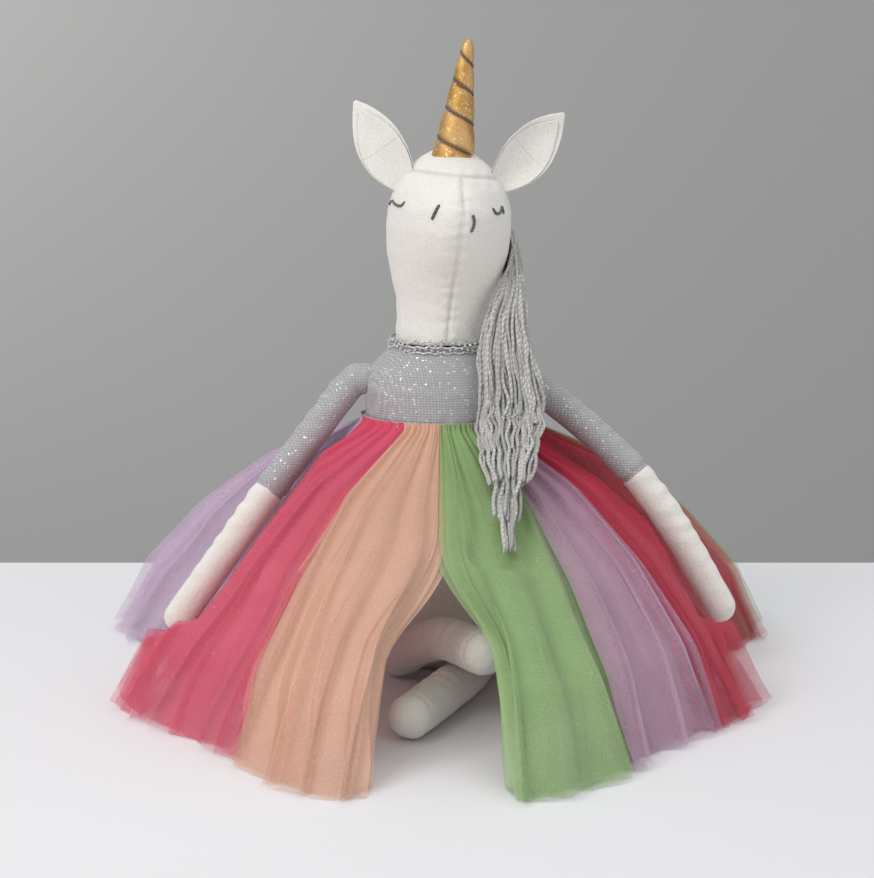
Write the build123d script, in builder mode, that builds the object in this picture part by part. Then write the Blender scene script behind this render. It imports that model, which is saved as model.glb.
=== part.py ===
"""Seated plush unicorn doll: stuffed cloth body, four-colour tulle skirt, yarn mane and cloth horn.

Sizes are in millimetres. +Z is up, the doll faces -Y and its left side is towards +X.
Z = 0 is the surface that it sits on, and the trunk stands over the origin.
"""

import os
from math import atan2, cos, degrees, exp, hypot, radians, sin

from build123d import *

os.makedirs("parts", exist_ok=True)

# Cloth, thread and clearances
CLOTH = 1.2  # thickness of the fleece and the silver knit
EASE = 0.4  # gap between a cover and the stuffing in it
JOINT_GAP = 0.5  # gap around a limb's root in its recess
TULLE = 1.3  # thickness of one gathered tulle layer
THREAD = 0.8  # radius of an embroidery stitch

# Trunk: height, half width, half depth
TRUNK = (
    (0, 33, 29),
    (7, 44, 37),
    (32, 49, 41),
    (80, 47, 39),
    (128, 45, 38),
    (148, 44.5, 37.5),
    (166, 46.5, 37),
    (178, 43, 34),
    (187, 34, 30),
    (193, 28, 28),
)
WAIST_HEIGHT = 146
WAISTBAND_DEPTH = 4
WAISTBAND_THICKNESS = 1.8
NECK_HEIGHT = 193
COLLAR_RADIUS = 31.2
COLLAR_INNER_RADIUS = 29
COLLAR_BOTTOM = 189.5
COLLAR_DEPTH = 7.5

# Head: height over the neck, half width, reach to the front, reach to the back
HEAD_HEIGHT = 113.5
HEAD_BASE = NECK_HEIGHT + 0.6
HEAD = (
    (0, 27.5, 27.5, 27.5),
    (14, 27, 27.5, 27.5),
    (26, 28.5, 31, 29),
    (38, 32.3, 38, 31.5),
    (52, 35.6, 49, 34),
    (66, 37, 57.5, 36),
    (78, 36.3, 59.5, 36.5),
    (90, 32.5, 51, 35),
    (99, 26.8, 38, 30),
    (106, 20, 26, 23),
    (111, 12, 14, 14),
    (HEAD_HEIGHT, 4, 5, 5),
)
HEAD_SHIFT = 7.5  # how far the crown stands to the doll's left of the neck
HEAD_ROLL = 5.5  # lean of the crown to the doll's left, in degrees
HEAD_YAW = 4.5  # turn of the muzzle to the doll's left, in degrees
GUSSET_HEIGHT = 292

# Horn: a leaning cone wound with thread
HORN_BASE = (7, -8, 303)
HORN_LEAN = 7.5
HORN_LENGTH = 67
HORN_ROOT = 16
HORN_BASE_RADIUS = 11.9
HORN_TIP_RADIUS = 2.6
HORN_TURNS = 4
HORN_WINDING_START = 3
HORN_WINDING_LENGTH = 61
HORN_THREAD = 0.7

# Ears: cupped leaves, placed by the middle of the base, the lean and the turn about the vertical
EAR_LENGTH = 52
EAR_HALF_WIDTH = 16
EAR_ROOT = 9
EAR_CUP_RADIUS = 21
EAR_CLOTH = 1.5
EAR_LINING = 1.0
EARS = {
    "right": ((-22, -2, 290), -34, -16),
    "left": ((35, -2, 290), 46, 16),
}

# Limbs: radius and the points of the centre line from the root
ARM_RADIUS = 9.6
ARMS = {
    "right": ((-54, 0, 168), (-80, -7, 135), (-106, -15, 101), (-131, -22, 66), (-155, -29, 33)),
    "left": ((54, 0, 168), (86, -8, 144), (117, -15, 114), (143, -22, 78), (165, -29, 39)),
}
ELBOW_SHARE = 0.48
LEG_RADIUS = 12.4
LEGS = {
    "left": ((24, -44, 12.8), (14, -80, 12.8), (0, -115, 12.8), (-16, -152, 12.8)),
    "right": ((-24, -44, 13), (-10, -72, 29), (4, -100, 39.5), (22, -135, 42)),
}
SOLE_SETBACK = 2

# Skirt: levels as height, spread of a crowned part and spread of a straight part
SKIRT_LEVELS = (
    (WAIST_HEIGHT, 0, 0),
    (120, 0.36, 0.18),
    (85, 0.64, 0.42),
    (45, 0.86, 0.68),
    (0.4, 1, 1),
)
WAIST_HALF_WIDTH = 48
WAIST_HALF_DEPTH = 41
HEM_RADIUS = 208
SKIRT_POINTS = 36
SKIRT_SEAM = 270  # direction of the form's seam, in the gap between the two front panels
SKIRT_INSET = 1.0
# Where the hem swells or draws in: direction, half width of the stretch in degrees, change of radius
HEM_CHANGES = (
    (270, 27, 42),
    (152, 14, 16),
    (187, 14, -40),
    (349, 15, -40),
)
ARM_VALLEYS = (187, 349)
VALLEY_WIDTH = 14
# Tulle panels: colour and place, first and last direction in degrees
PANEL_GAP = 0.5
PANELS = {
    "pink_right": (190, 240),
    "peach_front": (240, 268),
    "green_front": (272, 296),
    "mauve_left": (296, 330),
    "crimson_left": (330, 362),
    "green_back": (2, 70),
    "peach_back": (70, 138),
    "lilac_right": (138, 190),
}

# Mane: centre of each section, half width and half thickness
MANE_TAIL = (
    ((45, 1, 246), 3, 8),
    ((41.5, -15, 230), 6.5, 7),
    ((37, -28, 210), 13, 7),
    ((37, -35, 190), 18, 7),
    ((39, -41, 172), 20, 6.5),
    ((39, -47, 159), 21, 6.5),
    ((38, -62, 152), 20, 6.5),
    ((37, -88, 142), 16, 6),
    ((36, -112, 130), 8, 5),
)
MANE_DEPTH = 3.2
MANE_SECTOR = (35, 100)
MANE_BOTTOM = 205
MANE_TOP = 284

# Embroidery: each stitch as places in front view, across from the middle and up
EYE_STITCHES = (
    ((-28.5, 277), (-24, 274.5), (-20.5, 277.5)),
    ((-28.5, 277), (-30, 274.5)),
    ((29, 274), (32, 270.5), (34.5, 274)),
    ((34.5, 274), (35.5, 270)),
)
NOSTRIL_STITCHES = (
    ((-1, 276), (-3.5, 272), (-5.5, 268)),
    ((17.5, 271), (18, 265.5), (16.5, 261)),
)


def oval(half_width, half_depth):
    """Points of an oval, for one smooth closed curve."""
    return [
        (half_width * cos(radians(turn)), half_depth * sin(radians(turn)))
        for turn in range(0, 360, 30)
    ]


def trunk_form(inset, overrun=0.0):
    """The trunk as a closed solid, drawn in all round by inset and carried up by overrun."""
    with BuildPart() as form:
        for height, half_width, half_depth in TRUNK:
            level = max(height, inset)
            if height == NECK_HEIGHT:
                level = height + overrun
            with BuildSketch(Plane.XY.offset(level)):
                with BuildLine():
                    Spline(*oval(half_width - inset, half_depth - inset), periodic=True)
                make_face()
        loft(ruled=True)
    return form.part


def head_plane(height):
    """The plane of the head's section at a height over the neck."""
    share = height / HEAD_HEIGHT
    roll = radians(HEAD_ROLL * share)
    yaw = radians(HEAD_YAW * share)
    return Plane(
        origin=(HEAD_SHIFT * share, 0, HEAD_BASE + height),
        x_dir=(cos(roll) * cos(yaw), sin(yaw), -sin(roll) * cos(yaw)),
        z_dir=(sin(roll), 0, cos(roll)),
    )


def head_form(inset, foot=0.0):
    """The head as a closed solid, drawn in all round by inset, with its foot raised by foot."""
    squeeze = (HEAD_HEIGHT - inset) / HEAD_HEIGHT
    with BuildPart() as form:
        for height, half_width, front, back in HEAD:
            level = height * squeeze if height else foot
            wide, fore, aft = half_width - inset, front - inset, back - inset
            with BuildSketch(head_plane(level)):
                with BuildLine():
                    Spline(
                        (wide, 0),
                        (0.75 * wide, 0.7 * aft),
                        (0, aft),
                        (-0.75 * wide, 0.7 * aft),
                        (-wide, 0),
                        (-0.8 * wide, -0.5 * fore),
                        (-0.42 * wide, -0.86 * fore),
                        (0, -fore),
                        (0.42 * wide, -0.86 * fore),
                        (0.8 * wide, -0.5 * fore),
                        periodic=True,
                    )
                make_face()
        loft(ruled=True)
    return form.part


def limb_form(points, radius, inset=0.0):
    """A round-ended limb along a smooth centre line, drawn in all round by inset."""
    centre_line = Spline(*points, mode=Mode.PRIVATE)
    thin = radius - inset
    cap = (82, 62, 40, 20)
    stations = []
    for angle in cap:
        place = centre_line @ 0 - (centre_line % 0) * thin * sin(radians(angle))
        stations.append((place, centre_line % 0, thin * cos(radians(angle))))
    for share in (0, 0.12, 0.25, 0.4, 0.55, 0.7, 0.85, 1):
        stations.append((centre_line @ share, centre_line % share, thin))
    for angle in reversed(cap):
        place = centre_line @ 1 + (centre_line % 1) * thin * sin(radians(angle))
        stations.append((place, centre_line % 1, thin * cos(radians(angle))))
    with BuildPart() as form:
        for place, heading, size in stations:
            across = heading.cross(Vector(0, 0, 1))
            with BuildSketch(Plane(origin=place, x_dir=across, z_dir=heading)):
                Circle(size)
        loft(ruled=True)
    return form.part


def bump(direction, centre, width):
    """1 near a direction, falling smoothly to 0 at more than width from it."""
    away = (direction - centre + 180) % 360 - 180
    return exp(-((away / width) ** 4))


def skirt_radius(direction, crowned, straight):
    """How far the skirt reaches in a direction, at a level of the given spreads."""
    turn = radians(direction)
    waist = 1 / hypot(cos(turn) / WAIST_HALF_WIDTH, sin(turn) / WAIST_HALF_DEPTH)
    hem = HEM_RADIUS + sum(change * bump(direction, at, width) for at, width, change in HEM_CHANGES)
    valley = sum(bump(direction, at, VALLEY_WIDTH) for at in ARM_VALLEYS)
    spread = crowned + valley * (straight - crowned)
    return waist + spread * (hem - waist)


def skirt_form(drop):
    """The skirt's outside as a closed solid, lowered by drop and drawn in a little if lowered."""
    inset = SKIRT_INSET * drop / TULLE
    with BuildPart() as form:
        for height, crowned, straight in SKIRT_LEVELS:
            with BuildSketch(Plane.XY.offset(height - drop)):
                with BuildLine():
                    rim = []
                    for number in range(SKIRT_POINTS):
                        direction = SKIRT_SEAM + 360 * number / SKIRT_POINTS
                        reach = skirt_radius(direction, crowned, straight) - inset
                        turn = radians(direction)
                        rim.append((reach * cos(turn), reach * sin(turn)))
                    Spline(*rim, periodic=True)
                make_face()
        loft(ruled=True)
    return form.part


def wedge(first, last, bottom, top, reach=400):
    """A slice of space about the trunk's axis, between two directions and two heights."""
    middle = (first + last) / 2
    corners = [(reach * cos(radians(a)), reach * sin(radians(a))) for a in (first, middle, last)]
    with BuildPart() as slice_form:
        with BuildSketch(Plane.XY.offset(bottom)):
            with BuildLine():
                Polyline((0, 0), *corners, close=True)
            make_face()
        extrude(amount=top - bottom)
    return slice_form.part


def horn_form(inset):
    """The horn as a closed cone with a round tip, carried down into the head."""
    lean = radians(HORN_LEAN)
    axis_plane = Plane(origin=HORN_BASE, x_dir=(cos(lean), 0, -sin(lean)), z_dir=(0, -1, 0))
    slope = (HORN_BASE_RADIUS - HORN_TIP_RADIUS) / (HORN_LENGTH - HORN_TIP_RADIUS)
    base_radius = HORN_BASE_RADIUS - inset
    tip_radius = HORN_TIP_RADIUS - inset
    shoulder = HORN_LENGTH - HORN_TIP_RADIUS
    with BuildPart() as form:
        with BuildSketch(axis_plane):
            with BuildLine():
                foot = Line((0, -HORN_ROOT), (base_radius + slope * HORN_ROOT, -HORN_ROOT))
                side = Line(foot @ 1, (tip_radius, shoulder))
                tip = JernArc(side @ 1, (0, 1), tip_radius, 90)
                Line(tip @ 1, (0, -HORN_ROOT))
            make_face()
        revolve(axis=Axis(HORN_BASE, (sin(lean), 0, cos(lean))))
    return form.part


def on_head(x, z):
    """The point of the head's front surface at a place in front view."""
    return head_outer.find_intersection_points(Axis((x, -200, z), (0, 1, 0)))[0][0]


head_outer = head_form(0)
head_inner = head_form(CLOTH, -1)
trunk_outer = trunk_form(0)
trunk_inner = trunk_form(CLOTH, 1)
horn_outer = horn_form(0)

# --- Trunk ---

limb_recesses = [
    Pos(*points[0]) * Sphere(radius + JOINT_GAP)
    for limbs, radius in ((ARMS, ARM_RADIUS), (LEGS, LEG_RADIUS))
    for points in limbs.values()
]

for name, half in (("bodice_front", Keep.TOP), ("bodice_back", Keep.BOTTOM)):
    with BuildPart() as bodice:
        add(trunk_outer)
        add(trunk_inner, mode=Mode.SUBTRACT)
        split(bisect_by=Plane.XY.offset(WAIST_HEIGHT), keep=Keep.TOP)
        split(bisect_by=Plane.XZ, keep=half)
        add(limb_recesses, mode=Mode.SUBTRACT)
    bodice.part.label = name
    export_step(bodice.part, f"parts/{name}.step")

with BuildPart() as seat_cover:
    add(trunk_outer)
    add(trunk_inner, mode=Mode.SUBTRACT)
    split(bisect_by=Plane.XY.offset(WAIST_HEIGHT), keep=Keep.BOTTOM)
    add(limb_recesses, mode=Mode.SUBTRACT)
seat_cover.part.label = "seat_cover"
export_step(seat_cover.part, "parts/seat_cover.step")

with BuildPart() as torso_stuffing:
    add(trunk_form(CLOTH + EASE))
    add(limb_recesses, mode=Mode.SUBTRACT)
torso_stuffing.part.label = "torso_stuffing"
export_step(torso_stuffing.part, "parts/torso_stuffing.step")

with BuildPart() as collar_braid:
    with BuildSketch(Plane.XY.offset(COLLAR_BOTTOM)):
        Circle(COLLAR_RADIUS)
        Circle(COLLAR_INNER_RADIUS, mode=Mode.SUBTRACT)
    extrude(amount=COLLAR_DEPTH)
    add(trunk_outer, mode=Mode.SUBTRACT)
collar_braid.part.label = "collar_braid"
export_step(collar_braid.part, "parts/collar_braid.step")

# --- Skirt ---

waist_room = trunk_form(-EASE, 1)

with BuildPart() as skirt_waistband:
    with BuildSketch(Plane.XY.offset(WAIST_HEIGHT)):
        with BuildLine():
            Spline(
                *oval(
                    TRUNK[5][1] + EASE + WAISTBAND_THICKNESS,
                    TRUNK[5][2] + EASE + WAISTBAND_THICKNESS,
                ),
                periodic=True,
            )
        make_face()
    extrude(amount=WAISTBAND_DEPTH)
    add(waist_room, mode=Mode.SUBTRACT)
skirt_waistband.part.label = "skirt_waistband"
export_step(skirt_waistband.part, "parts/skirt_waistband.step")

with BuildPart() as tulle_ring:
    add(skirt_form(0))
    add(skirt_form(TULLE), mode=Mode.SUBTRACT)
    add(waist_room, mode=Mode.SUBTRACT)

for panel, (first, last) in PANELS.items():
    with BuildPart() as tulle:
        add(tulle_ring.part)
        add(
            wedge(first + PANEL_GAP / 2, last - PANEL_GAP / 2, SKIRT_LEVELS[-1][0], WAIST_HEIGHT),
            mode=Mode.INTERSECT,
        )
    tulle.part.label = f"tulle_{panel}"
    export_step(tulle.part, f"parts/tulle_{panel}.step")

# --- Head ---

gusset_plane = Plane(
    origin=(head_plane(0).origin.X, 0, GUSSET_HEIGHT),
    z_dir=head_plane(GUSSET_HEIGHT - HEAD_BASE).z_dir,
)
seam_plane = Plane(
    origin=head_plane(HEAD_HEIGHT / 2).origin,
    z_dir=head_plane(HEAD_HEIGHT / 2).x_dir,
)

for side, half in (("left", Keep.TOP), ("right", Keep.BOTTOM)):
    with BuildPart() as head_side:
        add(head_outer)
        add(head_inner, mode=Mode.SUBTRACT)
        split(bisect_by=gusset_plane, keep=Keep.BOTTOM)
        split(bisect_by=seam_plane, keep=half)
    head_side.part.label = f"head_side_{side}"
    export_step(head_side.part, f"parts/head_side_{side}.step")

with BuildPart() as crown_gusset:
    add(head_outer)
    add(head_inner, mode=Mode.SUBTRACT)
    split(bisect_by=gusset_plane, keep=Keep.TOP)
crown_gusset.part.label = "crown_gusset"
export_step(crown_gusset.part, "parts/crown_gusset.step")

with BuildPart() as head_stuffing:
    add(head_form(CLOTH + EASE, EASE))
head_stuffing.part.label = "head_stuffing"
export_step(head_stuffing.part, "parts/head_stuffing.step")

# --- Horn ---

with BuildPart() as horn_cover:
    add(horn_outer)
    add(horn_form(CLOTH), mode=Mode.SUBTRACT)
    add(head_outer, mode=Mode.SUBTRACT)
horn_cover.part.label = "horn_cover"
export_step(horn_cover.part, "parts/horn_cover.step")

with BuildPart() as horn_stuffing:
    add(horn_form(CLOTH + EASE / 2))
    add(head_outer, mode=Mode.SUBTRACT)
horn_stuffing.part.label = "horn_stuffing"
export_step(horn_stuffing.part, "parts/horn_stuffing.step")

horn_axis = Vector(sin(radians(HORN_LEAN)), 0, cos(radians(HORN_LEAN)))
winding_start = Vector(*HORN_BASE) + horn_axis * HORN_WINDING_START
winding_angle = degrees(atan2(HORN_BASE_RADIUS - HORN_TIP_RADIUS, HORN_LENGTH - HORN_TIP_RADIUS))
winding_radius = HORN_BASE_RADIUS - HORN_WINDING_START * (HORN_BASE_RADIUS - HORN_TIP_RADIUS) / (
    HORN_LENGTH - HORN_TIP_RADIUS
)
with BuildPart() as horn_thread:
    with BuildLine():
        winding = Helix(
            pitch=HORN_WINDING_LENGTH / HORN_TURNS,
            height=HORN_WINDING_LENGTH,
            radius=winding_radius,
            center=winding_start,
            direction=horn_axis,
            cone_angle=-winding_angle,
            lefthand=True,
        )
    with BuildSketch(Plane(origin=winding @ 0, z_dir=winding % 0)):
        Circle(HORN_THREAD)
    sweep(path=winding, is_frenet=True)
horn_thread.part.label = "horn_thread"
export_step(horn_thread.part, "parts/horn_thread.step")

# --- Ears ---

# A leaf outline cut from a thin round shell, so that the ear is cupped along its length.
for side, (base, lean, turn) in EARS.items():
    ear_plane = Plane(Location(base, (0, 0, turn))).rotated((0, lean, 0))
    with BuildPart() as leaf:
        flat_plane = Plane(ear_plane.origin, ear_plane.x_dir, -ear_plane.y_dir)
        with BuildSketch(flat_plane):
            with BuildLine():
                Spline(
                    (0, EAR_LENGTH),
                    (EAR_HALF_WIDTH * 0.8, EAR_LENGTH * 0.62),
                    (EAR_HALF_WIDTH, EAR_LENGTH * 0.36),
                    (EAR_HALF_WIDTH * 0.62, 0),
                    (EAR_HALF_WIDTH * 0.5, -EAR_ROOT),
                )
                Line((EAR_HALF_WIDTH * 0.5, -EAR_ROOT), (-EAR_HALF_WIDTH * 0.5, -EAR_ROOT))
                Spline(
                    (-EAR_HALF_WIDTH * 0.5, -EAR_ROOT),
                    (-EAR_HALF_WIDTH * 0.62, 0),
                    (-EAR_HALF_WIDTH, EAR_LENGTH * 0.36),
                    (-EAR_HALF_WIDTH * 0.8, EAR_LENGTH * 0.62),
                    (0, EAR_LENGTH),
                )
            make_face()
        extrude(amount=EAR_CUP_RADIUS, both=True)
    layers = (
        ("outer", EAR_CUP_RADIUS, EAR_CLOTH),
        ("lining", EAR_CUP_RADIUS - EAR_CLOTH, EAR_LINING),
    )
    for layer, outside, cloth in layers:
        name = f"{side}_ear_{layer}"
        with BuildPart() as ear:
            with BuildSketch(ear_plane.offset(-EAR_ROOT)):
                with Locations((0, -EAR_CUP_RADIUS)):
                    Circle(outside)
                    Circle(outside - cloth, mode=Mode.SUBTRACT)
            extrude(amount=EAR_ROOT + EAR_LENGTH)
            add(leaf.part, mode=Mode.INTERSECT)
            add(head_outer, mode=Mode.SUBTRACT)
        ear.part.label = name
        export_step(ear.part, f"parts/{name}.step")

# --- Stitched face ---

for name, stitches in (("eye_stitches", EYE_STITCHES), ("nostril_stitches", NOSTRIL_STITCHES)):
    with BuildPart() as embroidery:
        for places in stitches:
            with BuildLine() as stitch:
                Spline(*[on_head(x, z) for x, z in places])
            with BuildSketch(Plane(origin=stitch.line @ 0, z_dir=stitch.line % 0)):
                Circle(THREAD)
            sweep(path=stitch.line)
    embroidery.part.label = name
    export_step(embroidery.part, f"parts/{name}.step")

# --- Mane ---

with BuildPart() as mane_crown:
    add(head_form(-MANE_DEPTH))
    add(head_form(-JOINT_GAP), mode=Mode.SUBTRACT)
    add(wedge(*MANE_SECTOR, MANE_BOTTOM, MANE_TOP), mode=Mode.INTERSECT)
mane_crown.part.label = "mane_crown"
export_step(mane_crown.part, "parts/mane_crown.step")

mane_line = Spline(*[centre for centre, wide, thick in MANE_TAIL], mode=Mode.PRIVATE)
with BuildPart() as mane_tail:
    for centre, wide, thick in MANE_TAIL:
        heading = mane_line % mane_line.param_at_point(centre)
        with BuildSketch(Plane(origin=centre, x_dir=(1, 0, 0) , z_dir=heading)):
            with BuildLine():
                Spline(*oval(wide, thick), periodic=True)
            make_face()
    loft(ruled=True)
mane_tail.part.label = "mane_tail"
export_step(mane_tail.part, "parts/mane_tail.step")

# --- Arms: a silver sleeve down to the elbow seam, then a white forearm ---

for side, points in ARMS.items():
    arm_line = Spline(*points, mode=Mode.PRIVATE)
    elbow = Plane(origin=arm_line @ ELBOW_SHARE, z_dir=arm_line % ELBOW_SHARE)
    arm_outer = limb_form(points, ARM_RADIUS)
    arm_inner = limb_form(points, ARM_RADIUS, CLOTH)
    for piece, half in (("sleeve", Keep.BOTTOM), ("forearm", Keep.TOP)):
        with BuildPart() as arm_cover:
            add(arm_outer)
            add(arm_inner, mode=Mode.SUBTRACT)
            split(bisect_by=elbow, keep=half)
        arm_cover.part.label = f"{side}_{piece}"
        export_step(arm_cover.part, f"parts/{side}_{piece}.step")
    with BuildPart() as arm_stuffing:
        add(limb_form(points, ARM_RADIUS, CLOTH + EASE))
    arm_stuffing.part.label = f"{side}_arm_stuffing"
    export_step(arm_stuffing.part, f"parts/{side}_arm_stuffing.step")

# --- Legs: a white tube closed by an oval sole at the toe ---

for side, points in LEGS.items():
    leg_line = Spline(*points, mode=Mode.PRIVATE)
    sole_seam = Plane(origin=leg_line @ 1 + (leg_line % 1) * SOLE_SETBACK, z_dir=leg_line % 1)
    leg_outer = limb_form(points, LEG_RADIUS)
    leg_inner = limb_form(points, LEG_RADIUS, CLOTH)
    for piece, half in (("leg_cover", Keep.BOTTOM), ("foot_sole", Keep.TOP)):
        with BuildPart() as leg_piece:
            add(leg_outer)
            add(leg_inner, mode=Mode.SUBTRACT)
            split(bisect_by=sole_seam, keep=half)
        leg_piece.part.label = f"{side}_{piece}"
        export_step(leg_piece.part, f"parts/{side}_{piece}.step")
    with BuildPart() as leg_stuffing:
        add(limb_form(points, LEG_RADIUS, CLOTH + EASE))
    leg_stuffing.part.label = f"{side}_leg_stuffing"
    export_step(leg_stuffing.part, f"parts/{side}_leg_stuffing.step")
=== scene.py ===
"""Plush unicorn doll: the cloth, tulle, yarn and thread that dress its rigid frame.

Lengths in the mesh code are millimetres, and MM turns them into Blender's metres.
Directions round the doll are in degrees: 0 is its left (+X) and 270 its front (-Y).
"""

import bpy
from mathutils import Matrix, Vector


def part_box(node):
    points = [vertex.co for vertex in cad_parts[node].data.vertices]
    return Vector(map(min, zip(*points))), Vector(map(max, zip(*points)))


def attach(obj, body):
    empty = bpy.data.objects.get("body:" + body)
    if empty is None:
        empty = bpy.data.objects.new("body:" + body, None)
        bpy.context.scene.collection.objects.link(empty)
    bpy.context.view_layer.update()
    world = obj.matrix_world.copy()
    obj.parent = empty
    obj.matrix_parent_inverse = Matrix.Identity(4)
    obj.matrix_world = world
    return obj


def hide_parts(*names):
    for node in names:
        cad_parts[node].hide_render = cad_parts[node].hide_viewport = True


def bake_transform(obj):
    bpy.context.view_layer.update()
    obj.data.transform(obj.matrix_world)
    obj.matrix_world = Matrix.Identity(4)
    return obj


bl_info = {
    "name": "Plush Unicorn",
    "version": (1, 0, 0),
    "blender": (4, 5, 0),
    "location": "View3D > Sidebar > Unicorn",
    "description": "Builds a seated plush unicorn doll with a tulle skirt and a yarn mane",
    "category": "Add Mesh",
}

import math
import random

import bpy
import numpy as np
from mathutils import Vector, noise
from mathutils.bvhtree import BVHTree

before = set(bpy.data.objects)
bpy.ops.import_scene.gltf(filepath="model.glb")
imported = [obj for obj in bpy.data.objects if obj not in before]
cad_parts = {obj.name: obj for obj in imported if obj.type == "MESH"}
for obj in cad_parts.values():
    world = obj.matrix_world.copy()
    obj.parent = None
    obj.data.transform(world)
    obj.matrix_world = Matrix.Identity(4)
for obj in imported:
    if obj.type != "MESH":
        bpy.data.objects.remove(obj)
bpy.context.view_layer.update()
MM = 0.001

NECK_HEIGHT = 193.4
WAIST_HEIGHT = 146.0
HEAD_CENTRE_HEIGHT = 268.0
HEAD_TALL = 113.5
# How far the middle of the head moves from the neck's axis: to the left at the crown, and forwards
CROWN_SHIFT = 7.5
FACE_SHIFT = 8.0
FACE_SHIFT_RATE = 1.6
GUSSET_HEIGHT = 292.0
GUSSET_SLOPE = 0.095
SEAM_SLOPE = 0.12
LINE_STEPS = 24
HORN_BASE = (7.0, -8.0, 303.0)
HORN_LEAN = 7.5
ARMS = {
    "right": ((-54, 0, 168), (-80, -7, 135), (-106, -15, 101), (-131, -22, 66), (-155, -29, 33)),
    "left": ((54, 0, 168), (86, -8, 144), (117, -15, 114), (143, -22, 78), (165, -29, 39)),
}
LEGS = {
    "left": ((24, -44, 12.8), (14, -80, 12.8), (0, -115, 12.8), (-16, -152, 12.8)),
    "right": ((-24, -44, 13), (-10, -72, 29), (4, -100, 39.5), (22, -135, 42)),
}
EARS = {
    "right": ((-22, -2, 290), -34, -16),
    "left": ((35, -2, 290), 46, 16),
}
# Tulle panels: colour and place, first and last direction
PANELS = {
    "pink_right": (190, 240),
    "peach_front": (240, 268),
    "green_front": (272, 296),
    "mauve_left": (296, 317),
    "crimson_left": (317, 372),
    "green_back": (12, 70),
    "peach_back": (70, 138),
    "lilac_right": (138, 190),
}
# Mane: centre of each section in front of the shoulder, half width and half thickness
MANE_SECTIONS = (
    ((45, 1, 246), 3, 7),
    ((41.5, -15, 230), 6.5, 6.5),
    ((37, -28, 210), 13, 6.5),
    ((37, -35, 190), 18, 6.5),
    ((39, -41, 172), 20, 6),
    ((39, -47, 159), 21, 6),
    ((38, -62, 152), 20, 5.5),
    ((37, -88, 142), 17, 5),
    ((36, -112, 130), 12, 4),
    ((35, -134, 115), 10, 3),
    ((34, -150, 101), 8, 2),
)
EYE_STITCHES = (
    ((-28.5, 277), (-26.5, 275.2), (-24, 274.5), (-22, 275.3), (-20.5, 277.5)),
    ((-28.5, 277), (-29.4, 275.8), (-30.2, 274.2)),
    ((29, 274), (30.3, 271.6), (32, 270.5), (33.6, 271.4), (34.5, 274.5)),
    ((34.5, 274.5), (35.1, 272.2), (35.5, 270)),
)
NOSTRIL_STITCHES = (
    ((-1, 276.5), (-2.6, 274.2), (-4, 271.5), (-5.5, 268)),
    ((17.5, 271), (18.2, 268), (18, 264.5), (16.5, 261)),
)


def length_property(name, description, millimetres):
    """A length that the user can change."""
    return bpy.props.FloatProperty(
        name=name, description=description, default=millimetres * MM, unit="LENGTH"
    )


def colour_property(name, description, default):
    """A colour that the user can change."""
    return bpy.props.FloatVectorProperty(
        name=name, description=description, default=default, subtype="COLOR"
    )


class DollSizes(bpy.types.PropertyGroup):
    """Sizes that a user may want to change."""

    seam_depth: length_property("Seam depth", "How far a seam draws the fleece in", 1.2)
    seam_width: length_property("Seam width", "Half width of the furrow along a seam", 1.3)
    thread_radius: length_property("Face thread", "Radius of the embroidered stitches", 0.85)
    horn_length: length_property("Horn length", "From the crown to the tip", 66.0)
    horn_radius: length_property("Horn radius", "At the base", 11.9)
    horn_turns: bpy.props.FloatProperty(
        name="Horn turns", description="Turns of thread round the horn", default=4.0
    )
    arm_radius: length_property("Arm radius", "Radius of the stuffed arms", 9.7)
    leg_radius: length_property("Leg radius", "Radius of the stuffed legs", 12.3)
    yarn_radius: length_property("Yarn radius", "Radius of one strand of the mane", 1.05)
    yarn_strands: bpy.props.IntProperty(
        name="Strands", description="Strands in the mane", default=150, min=10, max=400
    )
    fold_depth: length_property("Fold depth", "Depth of the skirt's folds at the hem", 11.0)


class DollColours(bpy.types.PropertyGroup):
    """Colours that a user may want to change."""

    fleece: colour_property("Fleece", "Head, ears, forearms and legs", (0.90, 0.87, 0.81))
    silver: colour_property("Silver knit", "Bodice and sleeves", (0.62, 0.62, 0.63))
    gold: colour_property("Gold cloth", "Horn", (0.72, 0.40, 0.09))
    yarn: colour_property("Yarn", "Mane", (0.70, 0.68, 0.63))
    pink: colour_property("Pink tulle", "Skirt panel", (0.86, 0.10, 0.20))
    crimson: colour_property("Crimson tulle", "Skirt panel", (0.62, 0.02, 0.07))
    peach: colour_property("Peach tulle", "Skirt panels", (0.92, 0.56, 0.40))
    green: colour_property("Green tulle", "Skirt panels", (0.36, 0.56, 0.22))
    mauve: colour_property("Mauve tulle", "Skirt panel", (0.62, 0.38, 0.52))
    lilac: colour_property("Lilac tulle", "Skirt panel", (0.74, 0.56, 0.74))


# --- Shader building ---


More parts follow.
